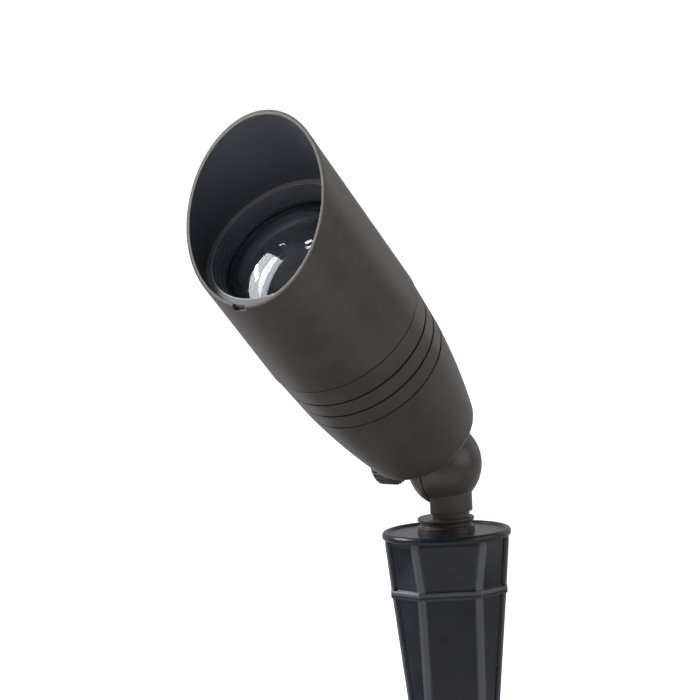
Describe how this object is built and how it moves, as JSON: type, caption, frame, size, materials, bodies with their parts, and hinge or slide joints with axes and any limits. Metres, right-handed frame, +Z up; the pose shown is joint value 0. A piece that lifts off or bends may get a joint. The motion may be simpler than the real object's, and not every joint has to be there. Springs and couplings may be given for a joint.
{
  "type": "outdoor spotlight",
  "caption": "Stake-mounted outdoor spotlight: tubular lamp with a slant-cut glare hood and domed lens, on a lockable tilting knuckle that screws into a ground stake.",
  "frame": {"origin": "centre of the stake flange's underside, at soil level, on the stake's axis", "axes": "+Z up along the stake and stem; +X along the knuckle's bolt, away from the thumb knob; the lamp heads towards -Y and is tipped up 44.0 degrees"},
  "size_m": [0.06, 0.1364, 0.3638],
  "materials": {
    "bronze_coat": "matte dark bronze powder coat",
    "stake_plastic": "black moulded plastic",
    "clear_glass": "clear pressed glass",
    "clear_optic": "clear moulded optic",
    "black_plastic": "black moulded plastic",
    "black_ring": "black anodised",
    "black_rubber": "black rubber",
    "bare_aluminium": "turned",
    "steel": "plated steel",
    "board_white": "white solder mask",
    "board_green": "green solder mask",
    "phosphor": "yellow phosphor",
    "sleeve_white": "white insulating sleeve",
    "parts_dark": "moulded component cases",
    "lead_cover": "insulated wire"
  },
  "bodies": {
    "stake": {"stake": "stake_plastic"},
    "stem": {"stem_knuckle": "bronze_coat", "stem_leads": "lead_cover", "cord_gland": "black_rubber"},
    "head": {"body_housing": "bronze_coat", "head_knuckle": "bronze_coat", "friction_washer": "black_rubber", "tail_gasket": "black_rubber", "tail_nut": "steel", "heat_spreader": "bare_aluminium", "spreader_screws": "steel", "led_board": "board_white", "board_screws": "steel", "led_emitter": "phosphor", "optic": "clear_optic", "optic_holder": "black_plastic", "driver_sleeve": "sleeve_white", "driver_board": "board_green", "driver_parts": "parts_dark", "head_leads": "lead_cover"},
    "knob": {"tilt_knob": "bronze_coat", "knob_stud": "steel", "knob_washer": "steel"},
    "seal": {"hood_oring": "black_rubber"},
    "glare_hood": {"hood": "bronze_coat", "lens_gasket": "black_rubber", "lens": "clear_glass", "lens_ring": "black_ring"}
  },
  "joints": [
    {"name": "stem_pan", "type": "hinge", "parent": "stake", "child": "stem", "pos_m": [0, 0, 0], "axis": [0, 0, 1], "range_deg": [-180, 180]},
    {"name": "head_tilt", "type": "hinge", "parent": "stem", "child": "head", "pos_m": [0, 0, 0.0274], "axis": [-1, 0, 0], "range_deg": [-40, 130]},
    {"name": "knob_turn", "type": "hinge", "parent": "stem", "child": "knob", "pos_m": [0, 0, 0.0274], "axis": [-1, 0, 0], "range_deg": [0, 720]},
    {"name": "hood_slide", "type": "slide", "parent": "head", "child": "seal", "axis": [0, -0.7193, 0.6947], "range_m": [0, 0.031]},
    {"name": "hood_turn", "type": "hinge", "parent": "seal", "child": "glare_hood", "pos_m": [0, 0, 0.0274], "axis": [0, -0.7193, 0.6947], "continuous": true}
  ]
}
